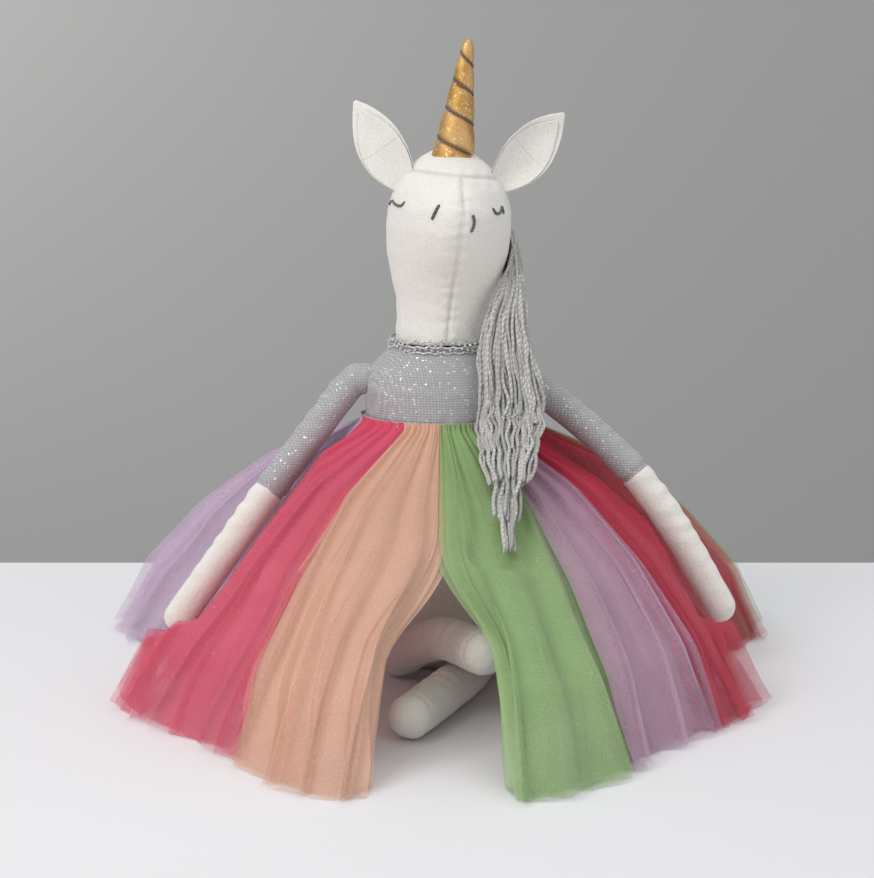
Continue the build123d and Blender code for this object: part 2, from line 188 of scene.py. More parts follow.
class Value:
    """A number's socket in a material, with operators that add Math nodes."""

    def __init__(self, shader, socket):
        self.shader = shader
        self.socket = socket

    def math(self, operation, *others, clamp=False):
        inputs = dict(enumerate((self, *others)))
        return self.shader.value("ShaderNodeMath", {"operation": operation, "use_clamp": clamp}, inputs)

    def __add__(self, other):
        return self.math("ADD", other)

    def __radd__(self, other):
        return self.math("ADD", other)

    def __sub__(self, other):
        return self.math("SUBTRACT", other)

    def __rsub__(self, other):
        return self.shader.value("ShaderNodeMath", {"operation": "SUBTRACT"}, {0: other, 1: self})

    def __mul__(self, other):
        return self.math("MULTIPLY", other)

    def __rmul__(self, other):
        return self.math("MULTIPLY", other)

    def sine(self):
        return self.math("SINE")

    def clamped(self):
        return self.math("ADD", 0.0, clamp=True)

    def step(self, low, high):
        """0 below low, 1 above high and smooth between them."""
        return self.shader.value(
            "ShaderNodeMapRange",
            {"interpolation_type": "SMOOTHSTEP"},
            {"Value": self, "From Min": low, "From Max": high},
        )


class Shader:
    """A material whose nodes are added by calls."""

    def __init__(self, name):
        self.material = bpy.data.materials.new(name)
        self.material.use_nodes = True
        self.tree = self.material.node_tree
        self.tree.nodes.clear()
        self.place = self.node("ShaderNodeTexCoord").outputs["Object"]

    def node(self, kind, settings=None, inputs=None):
        """Add a node: its settings first, then each socket's value or link."""
        made = self.tree.nodes.new(kind)
        for name, setting in (settings or {}).items():
            setattr(made, name, setting)
        for name, given in (inputs or {}).items():
            given = given.socket if isinstance(given, Value) else given
            if isinstance(given, bpy.types.NodeSocket):
                self.tree.links.new(given, made.inputs[name])
            elif made.inputs[name].type == "RGBA":
                made.inputs[name].default_value = (*given[:3], 1.0)
            else:
                made.inputs[name].default_value = given
        return made

    def value(self, kind, settings=None, inputs=None, output=0):
        return Value(self, self.node(kind, settings, inputs).outputs[output])

    def noise(self, scale, detail=2.0):
        inputs = {"Vector": self.place, "Scale": scale, "Detail": detail}
        return self.value("ShaderNodeTexNoise", None, inputs)

    def cells(self, scale, output="Distance"):
        return self.value("ShaderNodeTexVoronoi", None, {"Vector": self.place, "Scale": scale}, output)

    def attribute(self, name):
        return self.value("ShaderNodeAttribute", {"attribute_name": name}, None, "Fac")

    def across(self, axis):
        """The place along one axis, as a number."""
        return self.value("ShaderNodeSeparateXYZ", None, {0: self.place}, axis)

    def mix(self, factor, low, high):
        """A colour between two others. The colours' sockets share their names, so numbers tell them apart."""
        inputs = {"Factor": factor, 6: low, 7: high}
        return self.node("ShaderNodeMix", {"data_type": "RGBA"}, inputs).outputs[2]

    def bump(self, height, strength, distance=0.001):
        inputs = {"Height": height, "Strength": strength, "Distance": distance}
        return self.node("ShaderNodeBump", None, inputs).outputs[0]

    def surface(self, **sockets):
        """A Principled surface, whose sockets are named with _ for a space."""
        inputs = {name.replace("_", " "): given for name, given in sockets.items()}
        shade = self.node("ShaderNodeBsdfPrincipled", None, inputs)
        self.node("ShaderNodeOutputMaterial", None, {"Surface": shade.outputs[0]})
        return self.material


def darker(colour, share):
    return tuple(part * share for part in colour[:3])


def lighter(colour, share):
    return tuple(part + (1 - part) * share for part in colour[:3])


MATERIALS = {}


def fleece_material(name, colour):
    """Short-pile fleece: a soft nap with faint mottling, and painted shade along the seams."""
    cloth = Shader(name)
    nap = cloth.noise(900, 3)
    tufts = cloth.noise(260, 2)
    mottle = cloth.noise(28, 3)
    tone = cloth.mix(mottle.step(0.3, 0.75), darker(colour, 0.95), colour)
    tone = cloth.mix(nap.step(0.25, 0.7), darker(colour, 0.86), tone)
    # Painted shade: the colour darkens along the seams, where the furrow lies in shade.
    tone = cloth.mix(cloth.attribute("seam") * 0.75, tone, darker(colour, 0.62))
    return cloth.surface(
        Base_Color=tone,
        Roughness=0.93,
        Sheen_Weight=0.35,
        Sheen_Roughness=0.5,
        Subsurface_Weight=0.06,
        Subsurface_Radius=(0.004, 0.003, 0.002),
        Normal=cloth.bump(nap * 0.6 + tufts * 0.6, 0.5, 0.0012),
    )


def knit_material(colour):
    """Silver knit: rows of fine loops with bright metallic flecks."""
    cloth = Shader("silver_knit")
    rows = (cloth.across("Z") * 4200).sine() * 0.5 + 0.5
    ribs = ((cloth.across("X") + cloth.across("Y") * 0.6) * 3600).sine() * 0.5 + 0.5
    grain = cloth.noise(1500, 2)
    flecks = cloth.cells(520, "Color").step(0.62, 0.72)
    sparks = (1 - cloth.cells(520).step(0.10, 0.45)) * flecks
    tone = cloth.mix(rows * ribs * grain.step(0.3, 0.7), darker(colour, 0.62), lighter(colour, 0.25))
    tone = cloth.mix(sparks, tone, lighter(colour, 0.85))
    return cloth.surface(
        Base_Color=tone,
        Roughness=0.7 - sparks * 0.45,
        Metallic=sparks * 0.7 + 0.08,
        Sheen_Weight=0.2,
        Normal=cloth.bump(rows * 0.5 + ribs * 0.3 + grain * 0.8, 0.45, 0.0008),
    )


def gold_material(colour):
    """Metallic gold cloth with a fine woven grain and soft creases, with painted shade in the creases'
    hollows.
    """
    cloth = Shader("gold_cloth")
    grain = cloth.noise(2200, 2)
    crease = cloth.noise(70, 4)
    glints = cloth.cells(900, "Color").step(0.75, 0.85)
    # Painted shade: the colour darkens where the crease noise is low, in the hollows that the bump makes.
    tone = cloth.mix(crease.step(0.35, 0.7), darker(colour, 0.72), lighter(colour, 0.12))
    tone = cloth.mix(glints * 0.6, tone, lighter(colour, 0.5))
    return cloth.surface(
        Base_Color=tone,
        Roughness=0.42 - glints * 0.12 + crease * 0.12,
        Metallic=0.72,
        Sheen_Weight=0.1,
        Normal=cloth.bump(grain * 0.5 + crease * 2.0, 0.45, 0.0009),
    )


def thread_material(name, colour):
    """Twisted thread with a slight lustre."""
    thread = Shader(name)
    plies = (thread.attribute("along") * 2.6 + thread.attribute("round") * 2.0).sine() * 0.5 + 0.5
    fuzz = thread.noise(1800, 2)
    tone = thread.mix(plies * 0.7 + fuzz * 0.3, darker(colour, 0.55), lighter(colour, 0.14))
    return thread.surface(
        Base_Color=tone, Roughness=0.6, Sheen_Weight=0.2, Normal=thread.bump(plies + fuzz * 0.5, 0.6, 0.0004)
    )


def yarn_material(colour):
    """Soft two-ply yarn: a slanting twist, loose fibres and tone that differs from strand to strand."""
    yarn = Shader("mane_yarn")
    twist = (yarn.attribute("along") * 1.9 + yarn.attribute("round") * 2.0).sine() * 0.5 + 0.5
    fuzz = yarn.noise(1300, 3)
    strand = yarn.attribute("strand")
    tone = yarn.mix(strand, darker(colour, 0.58), lighter(colour, 0.35))
    tone = yarn.mix(twist * 0.6 + fuzz * 0.4, darker(colour, 0.55), tone)
    glints = yarn.cells(700, "Color").step(0.86, 0.93)
    tone = yarn.mix(glints * 0.6, tone, (0.95, 0.95, 0.95))
    return yarn.surface(
        Base_Color=tone,
        Roughness=0.72 - glints * 0.3,
        Metallic=glints * 0.4,
        Sheen_Weight=0.25,
        Normal=yarn.bump(twist + fuzz * 0.6, 0.7, 0.0006),
    )


def braid_material():
    """Silver sequin braid."""
    braid = Shader("silver_braid")
    grain = braid.noise(900, 2)
    tone = braid.mix(grain.step(0.3, 0.7), (0.42, 0.42, 0.43), (0.85, 0.85, 0.86))
    return braid.surface(
        Base_Color=tone, Roughness=0.38, Metallic=0.55, Normal=braid.bump(grain, 0.3, 0.0005)
    )


def tulle_material(name, colour):
    """Sheer net: denser where it is gathered and along its folds, with a fine mesh and scattered glitter, and
    painted shade in the folds' valleys.
    """
    net = Shader(name)
    down = net.attribute("down")
    fold = net.attribute("fold")
    threads = net.noise(1400, 2)
    streaks = net.noise(60, 3)
    glitter = net.cells(420, "Color").step(0.90, 0.95) * (1 - net.cells(420).step(0.08, 0.3))
    gathered = 1 - down.step(0.0, 0.4)
    cover = 0.33 + gathered * 0.50 + fold * 0.30 + (threads - 0.5) * 0.35 + (streaks - 0.5) * 0.2
    cover = (cover - down.step(0.75, 1.0) * 0.14).clamped()
    tone = net.mix(down.step(0.1, 0.95), darker(colour, 0.92), lighter(colour, 0.08))
    # Painted shade: the colour darkens in the folds' inward valleys.
    tone = net.mix(fold * 0.5, tone, darker(colour, 0.82))
    tone = net.mix(glitter * 0.8, tone, (1.0, 0.98, 0.95))
    return net.surface(
        Base_Color=tone,
        Roughness=0.75 - glitter * 0.5,
        Metallic=glitter * 0.5,
        Alpha=cover,
        Sheen_Weight=0.15,
        Normal=net.bump(threads, 0.3, 0.0005),
    )


def make_materials(colours):
    """Make each material once."""
    MATERIALS["white_fleece"] = fleece_material("white_fleece", colours.fleece)
    MATERIALS["silver_knit"] = knit_material(colours.silver)
    MATERIALS["gold_cloth"] = gold_material(colours.gold)
    MATERIALS["mane_yarn"] = yarn_material(colours.yarn)
    MATERIALS["silver_braid"] = braid_material()
    MATERIALS["waistband"] = fleece_material("waistband", darker(colours.silver, 0.9))
    MATERIALS["face_thread"] = thread_material("face_thread", (0.045, 0.04, 0.036))
    MATERIALS["brown_thread"] = thread_material("brown_thread", (0.09, 0.035, 0.012))
    MATERIALS["ear_lining"] = fleece_material("ear_lining", darker(colours.fleece, 0.97))
    for colour in ("pink", "crimson", "peach", "green", "mauve", "lilac"):
        MATERIALS[f"tulle_{colour}"] = tulle_material(f"tulle_{colour}", getattr(colours, colour))


# --- Mesh building ---


def turn(direction):
    """Unit vector in the ground plane."""
    return np.array((math.cos(math.radians(direction)), math.sin(math.radians(direction)), 0.0))


def unit(vector):
    return vector / max(np.linalg.norm(vector), 1e-9)


def hill(away, width):
    """1 at no distance, falling smoothly to 0."""
    return np.exp(-((away / width) ** 2))


def lumps(point, scale, seed=0.0):
    """Smooth noise from -1 to 1 at a point in millimetres."""
    return noise.noise(Vector((point[0] / scale + seed, point[1] / scale, point[2] / scale)))


def mesh_piece(name, points, faces, slot, body, replaced=(), facts=None, subdivide=0):
    """Make an object from points in millimetres, dressed in a slot's material and riding on a body."""
    mesh = bpy.data.meshes.new(name)
    mesh.from_pydata((np.asarray(points, float) * MM).tolist(), [], faces)
    mesh.validate()
    mesh.polygons.foreach_set("use_smooth", [True] * len(mesh.polygons))
    for title, values in (facts or {}).items():
        attribute = mesh.attributes.new(title, "FLOAT", "POINT")
        attribute.data.foreach_set("value", np.asarray(values, np.float32))
    mesh.materials.append(MATERIALS[slot])
    piece = bpy.data.objects.new(name, mesh)
    bpy.context.scene.collection.objects.link(piece)
    if subdivide:
        smoother = piece.modifiers.new("Smooth", "SUBSURF")
        smoother.levels = subdivide
        smoother.render_levels = subdivide
    if body:
        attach(piece, body)
    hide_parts(*replaced)
    return piece


def grid_faces(rows, columns, wrap=True):
    """Quads between rows of points."""
    faces = []
    for row in range(rows - 1):
        for column in range(columns if wrap else columns - 1):
            here = row * columns + column
            beside = row * columns + (column + 1) % columns
            faces.append((here, beside, beside + columns, here + columns))
    return faces


def closed_loft(rings):
    """Points and faces of rings joined in turn, closed by a point at each end."""
    rings = np.asarray(rings, float)
    rows, columns = rings.shape[:2]
    points = np.vstack([rings.reshape(-1, 3), rings[0].mean(0), rings[-1].mean(0)])
    faces = grid_faces(rows, columns)
    foot, top = rows * columns, rows * columns + 1
    last = (rows - 1) * columns
    for column in range(columns):
        beside = (column + 1) % columns
        faces.append((foot, beside, column))
        faces.append((top, last + column, last + beside))
    return points, faces


def distance_along(line):
    """How far along a line each of its points is."""
    return np.concatenate([[0], np.cumsum(np.linalg.norm(np.diff(line, axis=0), axis=1))])


def smooth_line(points, steps):
    """Points along a smooth line through the given ones, evenly spaced."""
    given = np.asarray(points, float)
    padded = np.vstack([2 * given[0] - given[1], given, 2 * given[-1] - given[-2]])
    fine = []
    for number in range(1, len(padded) - 2):
        before, start, end, after = padded[number - 1 : number + 3]
        for share in np.linspace(0, 1, LINE_STEPS, endpoint=False):
            cube, square = share**3, share**2
            fine.append(
                0.5
                * (
                    2 * start
                    + (end - before) * share
                    + (2 * before - 5 * start + 4 * end - after) * square
                    + (3 * start - before - 3 * end + after) * cube
                )
            )
    fine = np.array([*fine, given[-1]])
    travel = distance_along(fine)
    wanted = np.linspace(0, travel[-1], steps)
    return np.stack([np.interp(wanted, travel, fine[:, axis]) for axis in range(3)], axis=1)


def frames_along(line, up=(0.0, 0.0, 1.0)):
    """Side and lift at each point of a line."""
    headings = np.gradient(line, axis=0)
    headings /= np.linalg.norm(headings, axis=1)[:, None]
    sides = np.cross(headings, np.asarray(up))
    sides /= np.maximum(np.linalg.norm(sides, axis=1)[:, None], 1e-6)
    return sides, np.cross(sides, headings)


def tube(line, radius, columns=8, up=(0.0, 0.0, 1.0)):
    """Points, faces, distance along and angle round of a thread that follows a line."""
    sides, lifts = frames_along(line, up)
    travel = distance_along(line)
    radii = np.broadcast_to(radius, len(line)).astype(float).copy()
    ends = np.minimum(travel, travel[-1] - travel) / max(radii.max(), 1e-6)
    radii *= np.sqrt(np.clip(1 - (1 - np.clip(ends, 0, 1)) ** 2, 0.03, 1))
    angles = np.linspace(0, 2 * math.pi, columns, endpoint=False)
    rings = [
        point + size * (np.cos(angles)[:, None] * side + np.sin(angles)[:, None] * lift)
        for point, size, side, lift in zip(line, radii, sides, lifts)
    ]
    points, faces = closed_loft(rings)
    along = np.concatenate([np.repeat(travel, columns), [0, travel[-1]]])
    around = np.concatenate([np.tile(angles, len(line)), [0, 0]])
    return points, faces, along, around


def join(parts):
    """One set of points, faces and values from several tubes."""
    points, faces, alongs, arounds, first = [], [], [], [], 0
    for part_points, part_faces, along, around in parts:
        points.append(part_points)
        faces.extend([tuple(corner + first for corner in face) for face in part_faces])
        alongs.append(along)
        arounds.append(around)
        first += len(part_points)
    return np.vstack(points), faces, np.concatenate(alongs), np.concatenate(arounds)


class Surface:
    """The outside of some CAD nodes, found by lines cast in towards a point."""

    def __init__(self, *names):
        points, faces = [], []
        for name in names:
            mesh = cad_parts[name].data
            first = len(points)
            points.extend(vertex.co.copy() for vertex in mesh.vertices)
            faces.extend(tuple(first + corner for corner in face.vertices) for face in mesh.polygons)
        self.tree = BVHTree.FromPolygons(points, faces)

    def reach(self, origin, heading, start=420.0):
        """How far the outside is from an origin, or None where the line meets nothing."""
        begin = Vector(np.asarray(origin) + np.asarray(heading) * start) * MM
        place = self.tree.ray_cast(begin, -Vector(heading))[0]
        return None if place is None else start - (place - begin).length / MM


def softened(table, passes=6, wrap=True):
    """A table of distances with its creases smoothed out."""
    table = np.array(table, float)
    for _ in range(passes):
        table[1:-1] = table[:-2] * 0.25 + table[1:-1] * 0.5 + table[2:] * 0.25
        if wrap:
            table = np.roll(table, 1, 1) * 0.2 + table * 0.6 + np.roll(table, -1, 1) * 0.2
    return table


def axis_of_head(height):
    """The middle of the head at a height."""
    share = np.clip((height - NECK_HEIGHT) / HEAD_TALL, 0, 1)
    forward = FACE_SHIFT * np.clip(share * FACE_SHIFT_RATE, 0, 1)
    return np.array((CROWN_SHIFT * share, -forward, height))


def head_surface():
    return Surface("head_side_left", "head_side_right", "crown_gusset")


def node_box(node):
    """The low and high corners of a node's box."""
    return [np.array(corner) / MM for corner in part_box(node)]


def tilted(direction, tilt):
    """Unit vector in a direction, raised from the ground plane by a tilt."""
    return turn(direction) * math.cos(math.radians(tilt)) + np.array((0, 0, math.sin(math.radians(tilt))))


# --- Pieces ---


class UNICORN_OT_head(bpy.types.Operator):
    """Make the fleece head with its seams, and its embroidered face."""

    bl_idname = "unicorn.head"
    bl_label = "Head"

    columns = 160
    side_rows = 70
    crown_rows = 46
    last_tilt = 89
    neck_radius = 27.0
    stitch_lift = 0.35

    def execute(self, context):
        sizes = context.scene.doll_sizes
        surface = head_surface()
        origins, tilts = [], []
        for height in np.linspace(NECK_HEIGHT, HEAD_CENTRE_HEIGHT, self.side_rows, endpoint=False):
            origins.append(axis_of_head(height))
            tilts.append(0.0)
        for tilt in np.linspace(0, self.last_tilt, self.crown_rows):
            origins.append(axis_of_head(HEAD_CENTRE_HEIGHT))
            tilts.append(tilt)
        directions = np.linspace(0, 360, self.columns, endpoint=False)
        distances = [
            [surface.reach(origin, tilted(direction, tilt)) or self.neck_radius for direction in directions]
            for origin, tilt in zip(origins, tilts)
        ]
        distances = softened(distances)
        rings = []
        for origin, tilt, row in zip(origins, tilts, distances):
            ring = []
            for direction, distance in zip(directions, row):
                heading = tilted(direction, tilt)
                point = origin + heading * distance
                ring.append(point + heading * self.relief(point, sizes))
            rings.append(ring)
        points, faces = closed_loft(rings)
        # The seam value also darkens the fleece's colour along the seams: painted shade in the furrows.
        facts = {"seam": [self.seam(point, 0.9) for point in points]}
        replaced = ("head_side_left", "head_side_right", "crown_gusset", "head_stuffing")
        head = mesh_piece("head_skin", points, faces, "white_fleece", "head", replaced, facts, subdivide=1)
        self.stitches("eye_threads", EYE_STITCHES, sizes, surface, "eye_stitches")
        self.stitches("nostril_threads", NOSTRIL_STITCHES, sizes, surface, "nostril_stitches")
        return {"FINISHED"}

    def from_seams(self, point):
        """How far a point is to the left of the centre seam, and above the gusset's edge."""
        slant = SEAM_SLOPE * abs(point[1]) if point[1] < 0 else 0
        gusset = GUSSET_HEIGHT - GUSSET_SLOPE * (point[0] - CROWN_SHIFT)
        return point[0] - (axis_of_head(point[2])[0] + slant), point[2] - gusset

    def seam(self, point, width):
        """1 on a seam, falling to 0 beside it. The centre seam ends at the gusset."""
        from_centre, from_gusset = self.from_seams(point)
        centre = hill(from_centre, width) if from_gusset < 0 else 0.0
        return max(centre, hill(from_gusset, width))

    def relief(self, point, sizes):
        """How far the fleece stands proud: seam furrows, puckers beside them and soft lumps."""
        from_centre, from_gusset = self.from_seams(point)
        furrow = sizes.seam_depth / MM * self.seam(point, sizes.seam_width / MM)
        ripple = math.sin(point[2] * 0.9 + 2 * lumps(point, 12)) * (from_gusset < 0)
        pucker = 0.35 * hill(from_centre, 6.0) * ripple
        pucker += 0.3 * hill(from_gusset, 5.0) * math.sin(point[0] * 0.8)
        neck = 0.9 * hill(point[2] - NECK_HEIGHT, 14) * lumps(point, 9, 3.0)
        return 0.5 * lumps(point, 26) + 0.25 * lumps(point, 9, 7.0) + pucker + neck - furrow

    def face_point(self, surface, across, height):
        """The place of a stitch on the head's front."""
        depth = surface.reach(np.array((across, 0.0, height)), (0.0, -1.0, 0.0))
        return np.array((across, -depth - self.stitch_lift, height))

    def stitches(self, name, stitches, sizes, surface, node):
        threads = []
        for places in stitches:
            line = smooth_line([self.face_point(surface, x, z) for x, z in places], 22)
            threads.append(tube(line, sizes.thread_radius / MM, 10, (0, 1, 0)))
        points, faces, along, around = join(threads)
        facts = {"along": along, "round": around}
        mesh_piece(name, points, faces, "face_thread", "head", (node,), facts)


class UNICORN_OT_ears(bpy.types.Operator):
    """Make the two cupped ears, each of an outer fleece and a lining."""

    bl_idname = "unicorn.ears"
    bl_label = "Ears"

    length = 53.0
    half_width = 16.5
    root = 9.0
    cup = 21.0
    rows = 34
    columns = 25
    # Each layer's name, material, place outwards, thickness and share of the ear's full size
    layers = (
        ("outer", "white_fleece", 0.0, 1.8, 1.0),
        ("lining", "ear_lining", -2.2, 1.2, 0.88),
    )

    def execute(self, context):
        for side, (base, lean, twist) in EARS.items():
            for layer in self.layers:
                self.leaf(side, base, math.radians(lean), turn(twist), *layer)
        return {"FINISHED"}

    def leaf(self, side, base, lean, aside, layer, slot, lift, thick, rim):
        """One cupped leaf, closed on all sides."""
        along_axis = math.sin(lean) * aside + np.array((0.0, 0.0, math.cos(lean)))
        across_axis = math.cos(lean) * aside - np.array((0.0, 0.0, math.sin(lean)))
        out_axis = np.cross(along_axis, across_axis)
        points = []
        for face_lift in (lift, lift - thick):
            for row in range(self.rows):
                share = row / (self.rows - 1)
                along = -self.root + share * (self.length * (rim if share > 0.5 else 1) + self.root)
                width = self.width(along / (self.length * rim)) * rim
                radius = self.cup * (1.0 - 0.55 * hill(along + self.root, 20))
                for column in range(self.columns):
                    place = 2 * column / (self.columns - 1) - 1
                    across = place * width
                    angle = across / radius
                    edge = abs(place) ** 6
                    sag = 1.2 * lumps((across, along, face_lift), 14, 2.0 if side == "left" else 5.0)
                    thin = (thick * 0.4 * edge) * (-1 if face_lift == lift else 1)
                    out = radius * (math.cos(angle) - 1) + face_lift + sag + thin
                    side_step = radius * math.sin(angle)
                    points.append(
                        np.array(base) + along_axis * along + across_axis * side_step + out_axis * out
                    )
        count = self.rows * self.columns
        faces = grid_faces(self.rows, self.columns, False)
        faces += [tuple(count + corner for corner in reversed(face)) for face in faces]
        border = list(range(self.columns))
        border += [row * self.columns + self.columns - 1 for row in range(1, self.rows)]
        border += [(self.rows - 1) * self.columns + column for column in range(self.columns - 2, -1, -1)]
        border += [row * self.columns for row in range(self.rows - 2, 0, -1)]
        for here, beside in zip(border, border[1:] + border[:1]):
            faces.append((beside, here, here + count, beside + count))
        mesh_piece(
            f"{side}_ear_{layer}_fleece", points, faces, slot, "head", (f"{side}_ear_{layer}",), subdivide=1
        )

    def width(self, share):
        """Half the ear's width at a share of its length: broad below the middle and pointed at the tip."""
        share = min(max(share, -0.2), 1.0)
        body = math.sin(math.pi * min(1.0, (share + 0.22) / 1.22) ** 0.85)
        return self.half_width * max(0.06, body**0.8, 0.5 * (share < 0.2))


class UNICORN_OT_horn(bpy.types.Operator):
    """Make the gold horn, drawn in along its winding thread."""

    bl_idname = "unicorn.horn"
    bl_label = "Horn"

    rows = 150
    columns = 72
    tip_radius = 2.6
    root = 5.0
    thread_radius = 0.62
    thread_sunk = 0.25

    def execute(self, context):
        sizes = context.scene.doll_sizes
        length, base_radius = sizes.horn_length / MM, sizes.horn_radius / MM
        lean = math.radians(HORN_LEAN)
        axis = np.array((math.sin(lean), 0.0, math.cos(lean)))
        side = np.array((math.cos(lean), 0.0, -math.sin(lean)))
        front = np.array((0.0, 1.0, 0.0))
        base = np.array(HORN_BASE)

        def radius_at(height):
            straight = base_radius + (self.tip_radius - base_radius) * height / length
            return straight * math.sqrt(max(0.0, 1 - max(0.0, (height - length + 3.0) / 3.2) ** 2))

        def winding(height):
            """Turns of thread below a height: closer together towards the tip."""
            share = max(0.0, height) / length
            return sizes.horn_turns * (0.86 * share + 0.14 * share * share)

        def horn_point(height, radius, angle):
            return base + axis * height + radius * (math.cos(angle) * side + math.sin(angle) * front)

        rings = []
        for height in np.linspace(-self.root, length, self.rows):
            ring = []
            for angle in np.linspace(0, 2 * math.pi, self.columns, endpoint=False):
                phase = (winding(height) + angle / (2 * math.pi)) % 1.0
                from_thread = min(phase, 1 - phase)
                waist = 0.9 * math.exp(-((from_thread / 0.09) ** 2)) * (0 < height < length - 4)
                belly = 0.5 * math.sin(math.pi * phase)
                crease = 0.25 * lumps((angle * 4, height, 0), 5)
                radius = radius_at(height) + (belly - waist + crease) * min(1.0, radius_at(height) / 4)
                radius = max(radius, 0.05)
                ring.append(horn_point(height, radius, angle))
            rings.append(ring)
        points, faces = closed_loft(rings)
        horn = mesh_piece(
            "horn_gold_cover", points, faces, "gold_cloth", "head", ("horn_cover", "horn_stuffing")
        )
        line = []
        for height in np.linspace(1.5, length - 4.5, 260):
            angle = -2 * math.pi * winding(height)
            line.append(horn_point(height, radius_at(height) - self.thread_sunk, angle))
        points, faces, along, around = tube(np.array(line), self.thread_radius, 8, tuple(axis))
        facts = {"along": along, "round": around}
        mesh_piece("horn_winding", points, faces, "brown_thread", "head", ("horn_thread",), facts)
        return {"FINISHED"}


class UNICORN_OT_trunk(bpy.types.Operator):
    """Make the silver bodice, the white seat below it, the waistband and the sequin collar."""

    bl_idname = "unicorn.trunk"
    bl_label = "Trunk and collar"

    columns = 140
    bodice_top = 192.6
    seat_bottom = 0.2
    sequins_in_row = 54

    def execute(self, context):
        surface = Surface("bodice_front", "bodice_back", "seat_cover")
        bodice = self.shell(
            "bodice_knit",
            surface,
            (WAIST_HEIGHT - 2, self.bodice_top),
            60,
            "silver_knit",
            ("bodice_front", "bodice_back"),
        )
        seat = self.shell(
            "seat_fleece",
            surface,
            (self.seat_bottom, WAIST_HEIGHT - 2),
            70,
            "white_fleece",
            ("seat_cover", "torso_stuffing"),
        )
        self.waistband()
        self.collar()
        return {"FINISHED"}

    def shell(self, name, surface, levels, rows, slot, replaced):
        """The cloth between two levels, wrinkled, with a furrow at each side seam."""
        heights = np.linspace(*levels, rows)
        directions = np.linspace(0, 360, self.columns, endpoint=False)
        distances = []
        for height in heights:
            row = [surface.reach((0.0, 0.0, height), turn(direction)) for direction in directions]
            known = [distance for distance in row if distance]
            distances.append([distance or float(np.mean(known)) for distance in row])
        distances = softened(distances, 5)
        rings = []
        for height, row in zip(heights, distances):
            ring = []
            for direction, distance in zip(directions, row):
                point = turn(direction) * distance + np.array((0, 0, height))
                proud = 0.7 * lumps(point, 22, 4.0) + 0.3 * lumps(point * np.array((1, 1, 2.5)), 9, 1.0)
                proud += 0.5 * hill(height - WAIST_HEIGHT, 7) * math.sin(math.radians(direction * 26))
                side_seam = min(abs((direction + 90) % 180 - 90), 90)
                proud -= 0.7 * hill(side_seam, 1.6)
                ring.append(point + turn(direction) * proud)
            rings.append(ring)
        rings[0] = [np.array((*point[:2], heights[0])) for point in rings[0]]
        points, faces = closed_loft(rings)
        return mesh_piece(name, points, faces, slot, "torso", replaced, subdivide=1)

    def waistband(self):
        """A narrow tape over the top of the gathers."""
        low, high = node_box("skirt_waistband")
        half = (high - low) / 2
        rings = []
        for out, height in ((-1.6, 0.0), (0.0, 0.1), (0.2, 0.5), (0.0, 0.9), (-1.6, 1.0)):
            level = low[2] + height * (high[2] - low[2])
            ring = []
            for direction in np.linspace(0, 360, self.columns, endpoint=False):
                heading = turn(direction)
                ripple = 0.35 * math.sin(math.radians(direction * 34)) * (out > -1)
                ring.append(np.array((*(heading[:2] * (half[:2] + out + ripple)), level)))
            rings.append(ring)
        rings.append(rings[0])
        faces = grid_faces(len(rings), self.columns)
        points = np.array(rings).reshape(-1, 3)
        mesh_piece("waist_tape", points, faces, "waistband", "torso", ("skirt_waistband",))

    def collar(self):
        """Two wavy rows of little sequins, each with a bead, on a narrow tape."""
        low, high = node_box("collar_braid")
        radius = (high[0] - low[0]) / 2
        random.seed(7)
        parts = []
        middle = (low[2] + high[2]) / 2
        for row, level in enumerate((middle - 1.6, middle + 1.7)):
            for number in range(self.sequins_in_row):
                direction = 360 * (number + 0.5 * row) / self.sequins_in_row
                heading = turn(direction)
                wave = 0.9 * math.sin(math.radians(direction * 9 + 90 * row))
                centre = heading * (radius - 0.2) + np.array((0, 0, level + wave))
                aside = np.cross(heading, (0, 0, 1))
                tip = heading * random.uniform(0.5, 1.0)
                tip[2] += random.uniform(-0.35, 0.35)
                line = np.array([centre - heading * 0.8, centre, centre + tip * 0.5])
                parts.append(tube(smooth_line(line, 4), 1.45 * random.uniform(0.85, 1.1), 9, tuple(aside)))
                parts.append(tube(smooth_line(line + heading * 0.6, 4), 0.55, 6, tuple(aside)))
        for level in (middle - 3.2, middle, middle + 3.4):
            directions = np.linspace(0, 360, 241)
            line = [
                turn(d) * (radius - 0.8) + np.array((0, 0, level + 0.35 * math.sin(math.radians(d * 27))))
                for d in directions
            ]
            parts.append(tube(np.array(line), 0.6, 7, (0, 0, 1)))
        points, faces, _, _ = join(parts)
        mesh_piece("collar_sequins", points, faces, "silver_braid", "torso", ("collar_braid",))


